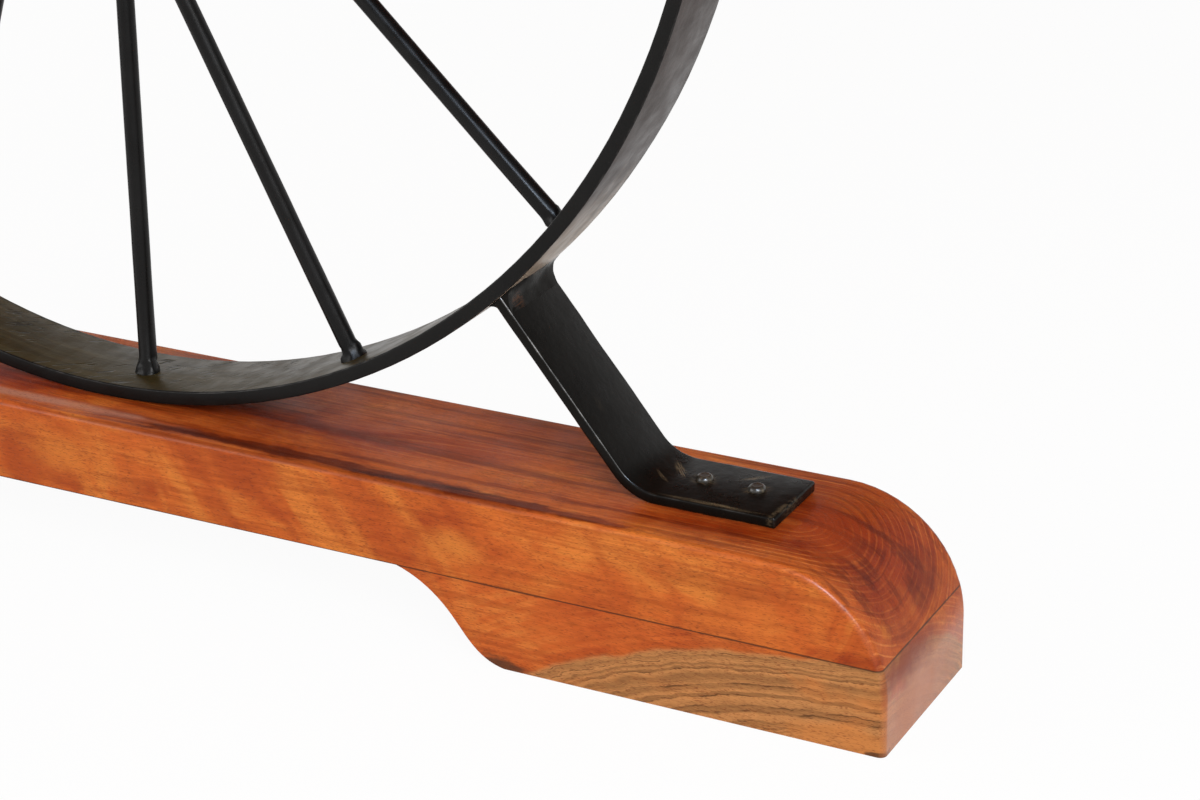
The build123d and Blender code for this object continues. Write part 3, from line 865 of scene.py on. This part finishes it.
def make_spoke(collar_radius):
    """A round bar along -Z, with a weld collar at the rim and a smaller one at the hub."""
    length = spoke_stand(0)[1]
    stub = 0.030
    bpy.ops.mesh.primitive_cylinder_add(
        vertices=24, radius=spoke_radius, depth=stub, location=(0.0, 0.0, -collar_height - stub / 2)
    )
    spoke = settle(bpy.context.active_object)
    open_up(spoke)
    pick_faces(spoke, lambda middle, normal: normal.z > 0.9)
    flare(collar_height + collar_sink, collar_radius / spoke_radius, curve=1.7, steps=6)
    pick_faces(spoke, lambda middle, normal: normal.z < -0.9)
    steps = 12
    draw_out((0.0, 0.0, -(length - stub - collar_height - hub_collar_height) / steps), steps)
    flare(-hub_collar_height, hub_collar_flare, curve=1.5, steps=4)
    close_up()
    welds = spoke.vertex_groups.new(name="welds")
    for point in spoke.data.vertices:
        near_rim = 1.0 - (-point.co.z - 0.001) / (collar_height * 1.1)
        near_hub = 1.0 - (length + point.co.z) / 0.016
        welds.add([point.index], max(0.0, min(1.0, 2.0 * max(near_rim, near_hub))), "REPLACE")
    return spoke


def make_spokes():
    """Sixteen spokes, every fourth one with a slimmer weld at the rim."""
    full, slim = make_spoke(full_collar_radius), make_spoke(slim_collar_radius)
    spokes = []
    for index in range(spoke_count):
        spoke = slim if index % 4 == 2 else full
        spokes.append(copy_of(spoke, f"spoke_{index}", spoke_stand(index)[0]))
    bpy.data.objects.remove(full)
    bpy.data.objects.remove(slim)
    spokes = join(spokes, "spokes_front")
    hand_worked(spokes, size=0.0042, depth=0.0032, group="welds")
    hand_worked(spokes, size=0.03, depth=0.0003)
    tidy_mesh(spokes, 60.0)
    return spokes


def make_hub():
    """A turned barrel with a band at each end."""
    bpy.ops.mesh.primitive_cylinder_add(
        vertices=72, radius=hub_radius, depth=2 * hub_half, location=front_wheel_centre,
        rotation=(math.pi / 2, 0.0, 0.0)
    )
    hub = settle(bpy.context.active_object)
    open_up(hub)
    for end in (-1, 1):
        cut = front_wheel_centre.y + end * (hub_half - hub_band_width)
        cut_across(cut)
        pick_faces(hub, lambda middle, normal: abs(normal.y) < 0.1 and (middle.y - cut) * end > 0)
        bpy.ops.mesh.extrude_region_shrink_fatten(TRANSFORM_OT_shrink_fatten={"value": hub_band_rise})
    for end in (-1, 1):
        cap = front_wheel_centre + Vector((0.0, end * hub_half, 0.0))
        pick_faces(hub, lambda middle, normal: (middle - cap).length < 0.001)
        bpy.ops.mesh.inset(thickness=hub_cap_inset, depth=0.0)
    close_up()
    ease_edges(hub, hub_edge_round, sharper_than=40)
    tidy_mesh(hub, 35.0)
    hub.name = "hub_front"
    return hub


# ---------------------------------------------------------------- brackets

# From the wheel's centre towards where the front right lower bracket meets the rim
bracket_way = Vector((math.sin(bar_meets_rim), 0.0, -math.cos(bar_meets_rim)))


def make_bracket():
    """Flat bar, bent once, from its foot's end on the beam up to the rim."""
    y = FRONT * bar_y
    weld_radius = wheel_radius - rim_thickness / 2
    corner = Vector((bar_corner, 0.0, wheel_height - wheel_radius + bar_thickness / 2))
    meet = Vector((0.0, 0.0, wheel_height)) + weld_radius * bracket_way
    leg = meet - corner
    lean = math.atan2(leg.z, -leg.x)
    bend_radius = bar_bend_radius + bar_thickness / 2
    reach = bend_radius * math.tan(lean / 2)
    bend_start = bar_corner + reach
    foot_steps, bend_steps, leg_steps = 7, 14, 16
    bar = bar_section(bar_thickness, bar_width, (bar_foot_end, y, corner.z))
    open_up(bar)
    pick_all()
    draw_out(((bend_start - bar_foot_end) / foot_steps, 0.0, 0.0), foot_steps)
    bend_centre = (bend_start, y, corner.z + bend_radius)
    bpy.ops.mesh.spin(steps=bend_steps, angle=-lean, center=bend_centre, axis=(0.0, 1.0, 0.0))
    draw_out(tuple(leg.normalized() * (leg.length - reach) / leg_steps), leg_steps)
    pick_all()
    bpy.ops.mesh.normals_make_consistent(inside=False)
    close_up()
    ease_edges(bar, bar_edge_round, sharper_than=50)
    return bar


def make_bead(along_rim, size_leg, size_rim):
    """A concave weld in the corner between a bracket's leg and the rim."""
    tangent = Vector((math.cos(bar_meets_rim), 0.0, math.sin(bar_meets_rim))) * along_rim
    middle = Vector((0.0, FRONT * bar_y, wheel_height))
    corner = middle + bracket_way * (wheel_radius - bead_sink) + tangent * (bar_thickness / 2 - bead_sink)
    bpy.ops.mesh.primitive_cube_add(size=1.0, location=(0.5, 0.0, 0.5))
    bead = settle(bpy.context.active_object)
    open_up(bead)
    pick_edges(bead, lambda a, b: min(a.x, b.x) > 0.9 and min(a.z, b.z) > 0.9)
    bpy.ops.mesh.bevel(offset=0.97, segments=10, profile=0.09, affect="EDGES")
    for cut in range(-9, 10):
        cut_across(cut / 20.0)
    close_up()
    length = Vector((0.0, bar_width - 2 * bead_inset, 0.0))
    sides = Matrix((bracket_way * (size_leg + bead_sink), length, tangent * (size_rim + bead_sink)))
    bead.data.transform(Matrix.Translation(corner) @ sides.transposed().to_4x4())
    hand_worked(bead, size=0.006, depth=0.0011)
    hand_worked(bead, size=0.0022, depth=0.0005)
    tidy_mesh(bead, 60.0)
    return bead


def make_screw_head():
    """A low dome head, bedded on the bar."""
    bpy.ops.mesh.primitive_cylinder_add(
        vertices=32, radius=screw_head_radius, depth=screw_head_height,
        location=(0.0, 0.0, screw_head_height / 2)
    )
    head = settle(bpy.context.active_object)
    open_up(head)
    pick_edges(head, lambda a, b: min(a.z, b.z) > screw_head_height * 0.9)
    bpy.ops.mesh.bevel(offset=screw_head_round, segments=7, profile=0.5, affect="EDGES")
    pick_faces(head, lambda middle, normal: normal.z > 0.99)
    bpy.ops.mesh.inset(thickness=0.0006, depth=-0.0003)
    close_up()
    hand_worked(head, size=0.003, depth=0.0003)
    tidy_mesh(head, 50.0)
    return head


def fit_brackets():
    """Copies one bracket, its weld and its screw heads to all eight places, and seats them."""
    bar = make_bracket()
    beads = join([make_bead(1, 0.0085, 0.0085), make_bead(-1, 0.0055, 0.0050)], "weld_beads")
    head = make_screw_head()
    screw_y = FRONT * (wheel_y - screw_row_setback)
    screw_z = beam_top + bar_thickness - screw_head_sink
    screw_spots = [Matrix.Translation((screw_x, screw_y, screw_z)) for screw_x in screw_places]
    for side, side_name in side_names.items():
        welds, heads = [], []
        for hand, hand_name in hand_names.items():
            for level in ("lower", "upper"):
                name = f"{level}_bracket_{side_name}_{hand_name}"
                change, turned_hand = (Matrix.Identity(4), hand) if side == FRONT else (turn_to_back, -hand)
                if level == "upper":
                    change = change @ mirror_z
                if turned_hand == LEFT:
                    change = change @ mirror_x
                bracket = copy_of(bar, "iron_" + name, change)
                hand_worked(bracket, size=0.018, depth=0.0005)
                hand_worked(bracket, size=0.006, depth=0.0002)
                tidy_mesh(bracket, 50.0)
                paint(bracket, bar_paint)
                seat(bracket, "bracket_iron", name)
                welds.append(copy_of(beads, "beads_" + name, change))
                heads += [copy_of(head, "head_" + name, change @ spot) for spot in screw_spots]
        welds = join(welds, f"weld_beads_{side_name}")
        paint(welds, weld_paint)
        seat(welds, "bracket_iron", f"bracket_welds_{side_name}")
        heads = join(heads, f"screw_heads_{side_name}")
        tidy_mesh(heads, 50.0)
        paint(heads, screw_steel)
        seat(heads, "screw_steel", f"bracket_screws_{side_name}")
    for piece in (bar, beads, head):
        bpy.data.objects.remove(piece)


def make_wheel():
    """The front wheel's rim, spokes and hub, painted and seated."""
    wheel = {"rim": make_rim(), "spokes": make_spokes(), "hub": make_hub()}
    paint_rim(wheel["rim"])
    paint(wheel["spokes"], spoke_paint)
    paint(wheel["hub"], hub_paint)
    for name, piece in wheel.items():
        seat(piece, "wheel_iron", f"wheel_{name}_front")
    return wheel


def copy_wheel(wheel):
    """Turns a copy of the front wheel to the back."""
    for name, piece in wheel.items():
        seat(copy_of(piece, name + "_back", turn_to_back), "wheel_iron", f"wheel_{name}_back")


front_wheel = make_wheel()
fit_brackets()
copy_wheel(front_wheel)


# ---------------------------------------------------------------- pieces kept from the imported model

def paint_node(name, finish):
    paint(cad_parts[name], finish)


def spread(number, step):
    """Spreads the planks' numbers over 0 to 1, out of order."""
    return number * step % plank_count / (plank_count - 1)


def plank_wood(number):
    """Each plank comes from another board, with its own depth, warmth and heart."""
    depth = 0.80 + 0.30 * spread(number, 3)
    warmth = 0.90 + 0.25 * spread(number, 5)
    tones = [(depth * red, depth * warmth * green, depth * blue) for red, green, blue in top_tones]
    heart = (1.2, 0.078 * spread(number, 5) - 0.04, 0.011 * (number * 3 % 5) - 0.05)
    middle = plank_width * (number - (plank_count + 1) / 2)
    return lacquered_wood(
        f"plank_wood_{number}",
        tones,
        grown(heart, 9.0, 0.0055, 0.02),
        streaks=0.5,
        sides=plank_width / 2,
        turn=math.pi / 2,
        shift=(0.31 * number, -middle, board_thickness / 2 - table_height),
    )


for side, side_name in side_names.items():
    paint_node(f"base_beam_{side_name}", beam_wood[side])
    for hand, hand_name in hand_names.items():
        paint_node(f"foot_{side_name}_{hand_name}", foot_wood[side, hand])
    paint_node(f"cleat_screws_{side_name}", screw_steel)
    paint_node(f"top_cleat_{side_name}", lacquered_wood(f"cleat_wood_{side_name}", top_tones, cleat_growth))
for name in ("stretcher_tube", "tie_rod"):
    paint_node(name, spoke_paint)
for name in ("tie_rod_washers", "tie_rod_nuts"):
    paint_node(name, screw_steel)
for number in range(1, plank_count + 1):
    paint_node(f"top_plank_{number}", plank_wood(number))


# ---------------------------------------------------------------- studio

white = (1.0, 1.0, 1.0)


def make_floor():
    """A pale floor that shows white to the camera and still takes the table's shadow."""
    bpy.ops.object.select_all(action="DESELECT")
    bpy.ops.mesh.primitive_plane_add(size=30.0, location=(0.0, 0.0, -0.0003))
    floor = bpy.context.active_object
    floor.name = "floor"
    finish, bench, shader = new_finish("floor_white")
    tree = finish.node_tree
    shader.inputs["Base Color"].default_value = (0.9, 0.9, 0.9, 1.0)
    shader.inputs["Roughness"].default_value = 0.9
    shader.inputs["Specular IOR Level"].default_value = 0.1
    glow = bench.put("ShaderNodeEmission", {"Color": white, "Strength": 1.0})
    light_path = bench.put("ShaderNodeLightPath").outputs
    seen = bench.math("MAXIMUM", light_path["Is Camera Ray"], light_path["Is Glossy Ray"])
    seen = bench.math("MAXIMUM", seen, light_path["Is Transmission Ray"])
    share = bench.times(seen, 0.95)
    mixed = bench.put("ShaderNodeMixShader", {0: share, 1: shader.outputs[0], 2: glow.outputs[0]})
    tree.links.new(mixed.outputs[0], tree.nodes["Material Output"].inputs["Surface"])
    floor.data.materials.append(finish)


def make_sky():
    """A plain white room, darker overhead in what gloss mirrors."""
    world = bpy.data.worlds.new("studio")
    bpy.context.scene.world = world
    world.use_nodes = True
    bench = Bench(world.node_tree)
    backdrop = world.node_tree.nodes["Background"]
    plain_level = 0.62
    light_path = bench.put("ShaderNodeLightPath").outputs
    seen = bench.math("MAXIMUM", light_path["Is Camera Ray"], light_path["Is Transmission Ray"])
    direction = bench.put("ShaderNodeTexCoord").outputs["Generated"]
    mirrored = bench.between(bench.split(direction)["Z"], 0.30, 0.62, 1.0, 0.22)
    above_plain = bench.math("SUBTRACT", mirrored, plain_level)
    strength = bench.add_share(light_path["Is Glossy Ray"], above_plain, plain_level)
    strength = bench.add_share(seen, bench.math("SUBTRACT", 1.0, strength), strength)
    bench.feed(backdrop.inputs["Color"], white)
    bench.feed(backdrop.inputs["Strength"], strength)


def make_lamp(name, place_at, look_at, size, power, tint=white):
    data = bpy.data.lights.new(name, "AREA")
    data.shape = "RECTANGLE"
    data.size, data.size_y = size
    data.energy = power
    data.color = tint
    lamp = bpy.data.objects.new(name, data)
    aim = Vector(look_at) - Vector(place_at)
    lamp.matrix_world = Matrix.Translation(place_at) @ aim.to_track_quat("-Z", "Y").to_matrix().to_4x4()
    bpy.context.scene.collection.objects.link(lamp)
    return lamp


def make_camera():
    """Long lens, low over the right end of the front trestle."""
    camera_place = (0.76635, -1.65259, 0.58407)
    yaw, pitch, roll = 0.49494, 0.40533, -0.02374
    data = bpy.data.cameras.new("camera")
    data.sensor_width = 36.0
    data.lens = 87.214
    ahead = Vector((-math.sin(yaw) * math.cos(pitch), math.cos(yaw) * math.cos(pitch), -math.sin(pitch)))
    level = Vector((math.cos(yaw), math.sin(yaw), 0.0))
    right = math.cos(roll) * level + math.sin(roll) * level.cross(ahead)
    turn = Matrix((right, right.cross(ahead), -ahead)).transposed().to_4x4()
    camera = bpy.data.objects.new("camera", data)
    camera.matrix_world = Matrix.Translation(camera_place) @ turn
    bpy.context.scene.collection.objects.link(camera)
    bpy.context.scene.camera = camera


make_camera()
make_floor()
make_sky()
make_lamp("key", (1.55, -2.1, 1.25), (0.15, -0.68, 0.12), (1.3, 0.9), 34.0)
glint = make_lamp("glint", (0.86, -1.62, 1.20), (0.22, -0.69, 0.12), (0.40, 0.30), 24.0, (0.66, 0.80, 1.0))
glint.visible_diffuse = False
make_lamp("fill", (-1.6, -2.2, 0.9), (0.1, -0.68, 0.10), (1.4, 1.2), 16.0)
bpy.context.scene.view_settings.view_transform = "Standard"
